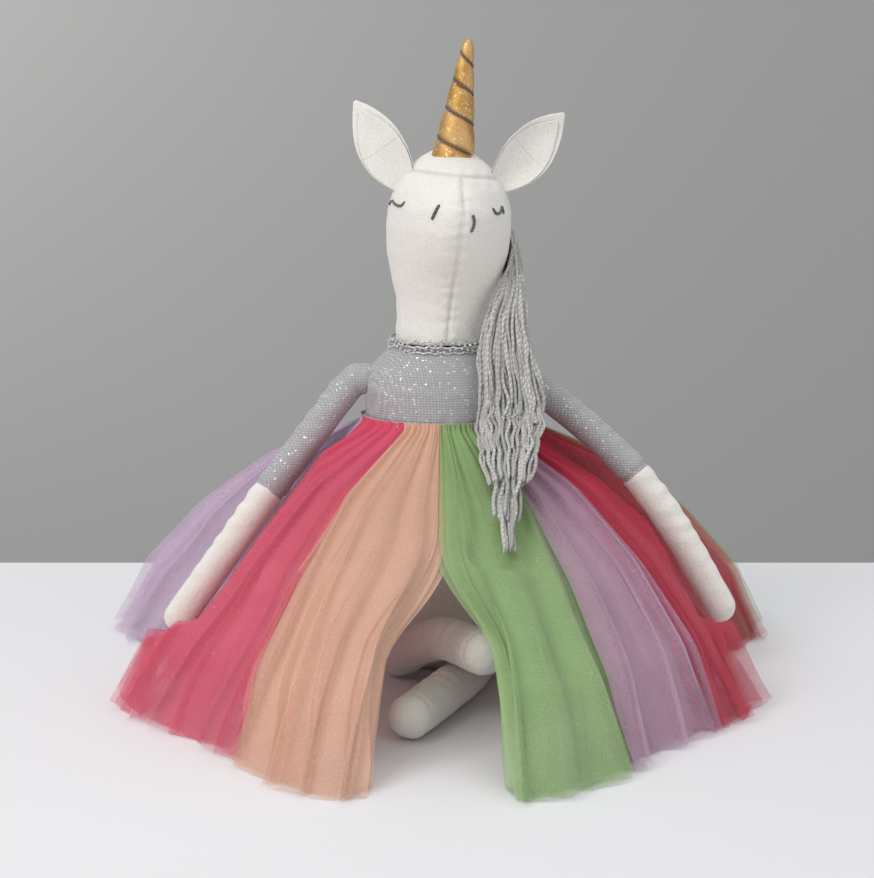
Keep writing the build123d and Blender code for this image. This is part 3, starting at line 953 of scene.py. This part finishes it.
class UNICORN_OT_limbs(bpy.types.Operator):
    """Make the two arms, each a silver sleeve and a white forearm, and the two legs with their soles."""

    bl_idname = "unicorn.limbs"
    bl_label = "Arms and legs"

    rows = 120
    columns = 48

    def execute(self, context):
        sizes = context.scene.doll_sizes
        for side, points in ARMS.items():
            radius = sizes.arm_radius / MM
            arm = f"{side}_arm"
            replaced = (f"{side}_sleeve",)
            self.limb(f"{side}_sleeve_knit", arm, points, radius, (0.0, 0.5), "silver_knit", replaced)
            replaced = (f"{side}_forearm", f"{side}_arm_stuffing")
            self.limb(f"{side}_forearm_fleece", arm, points, radius, (0.48, 1.0), "white_fleece", replaced)
        for side, points in LEGS.items():
            radius = sizes.leg_radius / MM
            replaced = (f"{side}_leg_cover", f"{side}_foot_sole", f"{side}_leg_stuffing")
            leg = f"{side}_leg"
            self.limb(f"{side}_leg_fleece", leg, points, radius, (0.0, 1.0), "white_fleece", replaced)
        return {"FINISHED"}

    def limb(self, name, body, points, radius, shares, slot, replaced):
        """A stuffed tube between two shares of a limb's length, with round ends and soft wrinkles."""
        if body.endswith("arm"):
            points = ((points[0][0] * 0.83, 0, points[0][2] + 3), *points)
        line = smooth_line(points, 200)
        before, after = unit(line[0] - line[1]), unit(line[-1] - line[-2])
        line = np.vstack([line[0] + before * radius * 0.98, line, line[-1] + after * radius * 0.98])
        line = smooth_line(line[:: 3 if len(line) > 60 else 1], 400)
        travel = distance_along(line)
        total = travel[-1]
        sides, lifts = frames_along(line)
        rings = []
        seed = 3.0 * len(name) + ord(name[0])
        places = np.linspace(shares[0] * total, shares[1] * total, self.rows)
        for place in places:
            share = place / total
            at = [np.interp(place, travel, line[:, axis]) for axis in range(3)]
            side = np.array([np.interp(place, travel, sides[:, axis]) for axis in range(3)])
            lift = np.array([np.interp(place, travel, lifts[:, axis]) for axis in range(3)])
            from_end = min(place, total - place)
            roundness = math.sqrt(max(0.002, 1 - max(0.0, 1 - from_end / radius) ** 2))
            seam = 0.0
            if body.endswith("arm"):
                seam = 0.8 * hill((share - 0.49) * total, 1.6)
                if slot == "silver_knit":
                    seam -= 0.35 * hill((share - 0.47) * total, 4.0)
            else:
                seam = 0.9 * hill(place - (total - radius * 1.1), 1.5)
            ring = []
            for angle in np.linspace(0, 2 * math.pi, self.columns, endpoint=False):
                spot = np.array((math.cos(angle) * radius, math.sin(angle) * radius, place))
                wave = math.sin(place * 0.55 + 2.2 * lumps(spot, 16, seed))
                wrinkle = 0.45 * wave * max(0, math.cos(angle - 1.2))
                wrinkle *= hill(share - (0.2 if slot == "silver_knit" else 0.6), 0.22)
                proud = 0.45 * lumps(spot, 13, seed) + wrinkle - seam
                proud -= 0.35 * hill(math.sin((angle + 1.5) / 2) * radius, 0.9)
                size = (radius - 0.35 + proud) * roundness
                ring.append(np.array(at) + size * (math.cos(angle) * side + math.sin(angle) * lift))
            rings.append(ring)
        mesh_points, faces = closed_loft(rings)
        piece = mesh_piece(name, mesh_points, faces, slot, body, replaced, subdivide=1)


class UNICORN_OT_skirt(bpy.types.Operator):
    """Make the gathered tulle skirt, three sheer layers to each panel."""

    bl_idname = "unicorn.skirt"
    bl_label = "Skirt"

    rows = 84
    columns_per_degree = 3.2
    layers = 3
    top = 150.4
    fall = 149.9
    fold_degrees = 8.5
    slit_top = 108.0
    slit_full = 62.0

    def execute(self, context):
        sizes = context.scene.doll_sizes
        self.surface = Surface(*[f"tulle_{panel}" for panel in PANELS])
        self.rests = [(smooth_line(points, 60), sizes.arm_radius / MM + 1.0, 0.0) for points in ARMS.values()]
        low, high = node_box("skirt_waistband")
        self.waist = (high[0] - low[0]) / 2, (high[1] - low[1]) / 2
        mane = smooth_line([centre for centre, _, _ in MANE_SECTIONS[5:]], 40)
        self.rests.append((mane, 23.0, 16.0))
        for number, (panel, (first, last)) in enumerate(PANELS.items()):
            for layer in range(self.layers):
                self.panel(number, panel, first, last, layer, sizes.fold_depth / MM)
        return {"FINISHED"}

    def reach(self, direction, height):
        """The skirt's radius in a direction; the narrow gap at the front follows its neighbours."""
        if height > WAIST_HEIGHT - 0.5:
            half_x, half_y = self.waist
            heading = turn(direction)
            return 1.0 / math.hypot(heading[0] / half_x, heading[1] / half_y) + 1.0
        for nudge in (0.013, 0.3, -0.3, 1.0, -1.0, 2.5, -2.5, 4.0, -4.0):
            found = self.surface.reach((0.0, 0.0, height), turn(direction + nudge), 400)
            if found and found > 35:
                return found
        return 60.0

    def pressed(self, point):
        """The highest that the net may be where an arm or the mane lies on it."""
        highest = 400.0
        for line, radius, flatness in self.rests:
            away = np.hypot(line[:, 0] - point[0], line[:, 1] - point[1])
            nearest = int(np.argmin(away))
            outside = max(0.0, away[nearest] - 0.6 * radius)
            under = line[nearest][2] - (radius - flatness) - 1.2
            bowl = 0.9 * outside**2 / (radius - flatness)
            if not flatness and point[1] < line[nearest][1]:
                bowl = min(bowl, 0.12 * outside + 0.004 * outside**2)
            highest = min(highest, under + bowl)
        return highest

    def panel(self, number, panel, first, last, layer, depth):
        """One layer of one panel: fine gathers at the waist that open into broad folds at the hem."""
        draw = random.Random(40 + 10 * number + layer)
        seed = 11.0 * number + 5.0 * layer
        lap = 1.0 + 1.6 * layer
        first, last = first - lap, last + lap
        columns = int((last - first) * self.columns_per_degree)
        shares = np.linspace(0, 1, self.rows)
        heights = self.top - self.fall * (0.35 * shares + 0.65 * shares**1.9)
        directions = np.linspace(first, last, columns)
        coarse = [[self.reach(direction, height) for direction in directions] for height in heights]
        coarse = softened(coarse, 4, False)
        folds = max(3, round((last - first) / self.fold_degrees))
        widths = np.array([draw.uniform(0.6, 1.5) for _ in range(folds)])
        starts = np.concatenate([[0], np.cumsum(widths / widths.sum())])
        sizes = [draw.uniform(0.45, 1.15) for _ in range(folds + 1)]
        points, downs, crests = [], [], []
        for row, (share, height) in enumerate(zip(shares, heights)):
            opened = float(np.clip((self.slit_top - height) / (self.slit_top - self.slit_full), 0, 1))
            opened = opened * opened * (3 - 2 * opened)
            for column, direction in enumerate(directions):
                across = column / (columns - 1)
                radius = coarse[row][column]
                wander = 0.10 * lumps((across * 50, share * 55, 0), 24, seed) * (0.3 + share)
                phase = float(np.interp(across + wander, starts, np.arange(folds + 1)))
                size = float(np.interp(phase, np.arange(folds + 1), sizes))
                angle = 2 * math.pi * phase
                crest = 0.5 - 0.5 * math.cos(angle)
                gather = math.sin(angle * 2.5 + seed) * (0.6 + 3 * share) * (1 - share) ** 4
                fine = 0.16 * math.sin(angle * 2 + 3 * share + seed)
                grow = (0.12 + 0.88 * share**1.1) * depth * size
                proud = gather + grow * (crest**1.3 - 0.55 + fine) - layer * (0.35 + 4.2 * share)
                proud += 2.0 * share * lumps((across * 80, share * 60, 9), 20, seed)
                slope = math.radians(50 - 16 * share)
                shift, edge = 0.0, 99.0
                if panel == "peach_front":
                    shift, edge = -6.5 * opened * across**2, (1 - across) * (last - first)
                    shift -= (lap + 0.3) * opened * across**4
                if panel == "green_front":
                    shift, edge = 5.5 * opened * (1 - across) ** 2, across * (last - first)
                    shift += (lap + 0.3) * opened * (1 - across) ** 4
                proud -= 6.0 * opened * hill(edge, 2.0)
                out = turn(direction + shift)
                sway = 0.30 * grow * math.sin(angle) * 2.1 * share**0.5
                aside = np.array((-out[1], out[0], 0.0)) * sway
                point = out * (radius + proud * math.cos(slope)) + aside
                ragged = 0.5 + 0.5 * lumps((across * 70, 0, 0), 16, seed + 3)
                hem = share**7 * (4.5 * ragged - 1.2 * layer)
                level = min(height + proud * math.sin(slope) + hem, self.pressed(point) - 0.7 * layer)
                points.append((point[0], point[1], max(level, 0.6 + 0.4 * layer)))
                downs.append(share)
                # The fold value is highest in the folds' inward valleys: the net is denser there, and its
                # colour darker as painted shade.
                crests.append((1 - crest) * min(1.0, 0.35 + share) * size)
        faces = grid_faces(self.rows, columns, False)
        colour = panel.split("_")[0]
        name = f"tulle_{panel}_layer_{layer + 1}"
        replaced = () if layer else (f"tulle_{panel}",)
        facts = {"down": downs, "fold": crests}
        piece = mesh_piece(name, points, faces, f"tulle_{colour}", "torso", replaced, facts)
        self.declare(piece)

    def declare(self, piece):
        """Work out the strip the panel could be cut from: its hem, its mean length from the waist to the hem,
        and its area at most their product. The results are not kept.
        """
        corners = np.array([vertex.co for vertex in piece.data.vertices]).reshape(self.rows, -1, 3)
        lengths = np.linalg.norm(np.diff(corners, axis=0), axis=2).sum(0)
        hem = np.linalg.norm(np.diff(corners[-1], axis=0), axis=1).sum()
        area = sum(polygon.area for polygon in piece.data.polygons)
        flat = (float(hem), float(lengths.mean()))
        area = min(float(area), flat[0] * flat[1])


class UNICORN_OT_mane(bpy.types.Operator):
    """Make the yarn mane: strands sewn down the back of the head that hang over the left shoulder."""

    bl_idname = "unicorn.mane"
    bl_label = "Mane"

    def execute(self, context):
        sizes = context.scene.doll_sizes
        surface = head_surface()
        random.seed(21)
        strands, tones = [], []
        for number in range(sizes.yarn_strands):
            line = self.strand(surface, random.random(), random.uniform(-1, 1), random.uniform(-1, 1))
            strand = tube(line, sizes.yarn_radius / MM * random.uniform(0.85, 1.12), 6, (0, 1, 0.2))
            strands.append(strand)
            tones.append(np.full(len(strand[0]), random.random()))
        points, faces, along, around = join(strands)
        facts = {"along": along, "round": around, "strand": np.concatenate(tones)}
        replaced = ("mane_crown", "mane_tail")
        mane = mesh_piece("mane_strands", points, faces, "mane_yarn", None, replaced, facts)
        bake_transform(mane)
        return {"FINISHED"}

    def strand(self, surface, root_share, across, deep):
        """One strand: from the back seam, round the left of the head and down to a ragged end."""
        if across * across + deep * deep > 1:
            across, deep = across * 0.7, deep * 0.7
        lift = 1.6 + 1.1 * (1 + deep)
        root_height = 214 + 76 * root_share
        places = []
        for share, direction in ((0.0, 92), (0.35, 68), (0.7, 44), (1.0, 18)):
            height = root_height + (252 - root_height) * share * 0.75 - 10 * share
            origin = axis_of_head(height)
            reach = surface.reach(origin, turn(direction)) or 30.0
            places.append(origin + turn(direction) * (reach + lift + share))
        end = random.choice((6.2, 7.1, 7.6, 8.1, 8.1, 9.1)) + random.uniform(-0.5, 0.5)
        if abs(across) < 0.35 and random.random() < 0.25:
            end = 10
        for number, (centre, wide, thick) in enumerate(MANE_SECTIONS[1:], 1):
            if number > end:
                break
            spread = np.array((across * wide * 0.92, deep * thick * 0.8, 0.0))
            if number >= 6:
                spread = np.array((across * wide * 0.95, deep * 2.0, -deep * thick * 0.75))
            jitter = np.array([random.uniform(-1, 1) for _ in range(3)]) * 1.0
            places.append(np.array(centre) + spread + jitter)
        line = smooth_line(places, 90)
        seed = random.uniform(0, 90)
        waver = [
            (lumps((n * 2.2, seed, 0), 14), lumps((n * 2.2, seed, 50), 14), 0.0) for n in range(len(line))
        ]
        return line + np.array(waver) * np.linspace(0.2, 3.2, len(line))[:, None]


class UNICORN_OT_stage(bpy.types.Operator):
    """Make the pale floor and wall, the soft lights and the camera."""

    bl_idname = "unicorn.stage"
    bl_label = "Stage"

    # Metres behind the doll's middle
    table_edge = 0.235
    wall_place = 2.2

    def execute(self, context):
        self.backdrop()
        self.lights()
        self.camera()
        return {"FINISHED"}

    def backdrop(self):
        """A pale table top and a grey wall behind it."""
        edge, wall = self.table_edge, self.wall_place
        for name, corners, colour in (
            ("studio_table", ((-3, -3, 0), (3, -3, 0), (3, edge, 0), (-3, edge, 0)), (0.86, 0.86, 0.88)),
            ("studio_wall", ((-4, wall, -2), (4, wall, -2), (4, wall, 3), (-4, wall, 3)), (0.42, 0.42, 0.41)),
        ):
            mesh = bpy.data.meshes.new(name)
            mesh.from_pydata(corners, [], [(0, 1, 2, 3)])
            paper = Shader(name)
            cloudy = paper.mix(paper.noise(0.9), darker(colour, 0.97), colour)
            mesh.materials.append(paper.surface(Base_Color=cloudy, Roughness=0.85))
            backdrop = bpy.data.objects.new(name, mesh)
            bpy.context.scene.collection.objects.link(backdrop)

    def lights(self):
        for name, place, size, power, colour in (
            ("key_light", (-1.2, -1.3, 1.5), 1.1, 21, (1.0, 0.985, 0.96)),
            ("fill_light", (1.7, -1.7, 1.0), 1.9, 9, (0.95, 0.97, 1.0)),
            ("top_light", (0.1, 0.3, 2.1), 1.3, 10, (1.0, 1.0, 1.0)),
            ("wall_light", (-1.5, 1.2, 1.0), 1.0, 11, (1.0, 1.0, 1.0)),
        ):
            lamp = bpy.data.lights.new(name, "AREA")
            lamp.energy, lamp.size, lamp.color = power, size, colour
            light = bpy.data.objects.new(name, lamp)
            light.location = place
            aim = Vector((-0.9, self.wall_place, 0.4)) if name == "wall_light" else Vector((0, 0, 0.15))
            light.rotation_euler = (aim - Vector(place)).to_track_quat("-Z", "Y").to_euler()
            bpy.context.scene.collection.objects.link(light)
        world = bpy.data.worlds.new("studio_air")
        world.use_nodes = True
        world.node_tree.nodes["Background"].inputs[0].default_value = (0.86, 0.87, 0.89, 1)
        world.node_tree.nodes["Background"].inputs[1].default_value = 0.55
        bpy.context.scene.world = world
        bpy.context.scene.view_settings.view_transform = "Standard"

    def camera(self):
        view = bpy.data.cameras.new("camera")
        view.sensor_width = 36.0
        view.lens = 73.8
        camera = bpy.data.objects.new("camera", view)
        camera.location = (-0.0025, -1.063, 0.322)
        camera.rotation_euler = (math.radians(80.0), 0.0, 0.0)
        bpy.context.scene.collection.objects.link(camera)
        bpy.context.scene.camera = camera


OPERATORS = (
    UNICORN_OT_stage,
    UNICORN_OT_head,
    UNICORN_OT_ears,
    UNICORN_OT_horn,
    UNICORN_OT_trunk,
    UNICORN_OT_limbs,
    UNICORN_OT_skirt,
    UNICORN_OT_mane,
)


class UNICORN_PT_panel(bpy.types.Panel):
    """Lists the doll's sizes and colours and the pieces that can be made."""

    bl_idname = "UNICORN_PT_panel"
    bl_label = "Plush Unicorn"
    bl_space_type = "VIEW_3D"
    bl_region_type = "UI"
    bl_category = "Unicorn"

    def draw(self, context):
        for group in (context.scene.doll_sizes, context.scene.doll_colours):
            for name in group.__annotations__:
                self.layout.prop(group, name)
        for operator in OPERATORS:
            self.layout.operator(operator.bl_idname)


CLASSES = (DollSizes, DollColours, *OPERATORS, UNICORN_PT_panel)


def register():
    for made in CLASSES:
        bpy.utils.register_class(made)
    bpy.types.Scene.doll_sizes = bpy.props.PointerProperty(type=DollSizes)
    bpy.types.Scene.doll_colours = bpy.props.PointerProperty(type=DollColours)


def unregister():
    del bpy.types.Scene.doll_colours
    del bpy.types.Scene.doll_sizes
    for made in reversed(CLASSES):
        bpy.utils.unregister_class(made)


def main():
    register()
    make_materials(bpy.context.scene.doll_colours)
    for operator in OPERATORS:
        group, name = operator.bl_idname.split(".")
        getattr(getattr(bpy.ops, group), name)()


if __name__ == "__main__":
    main()
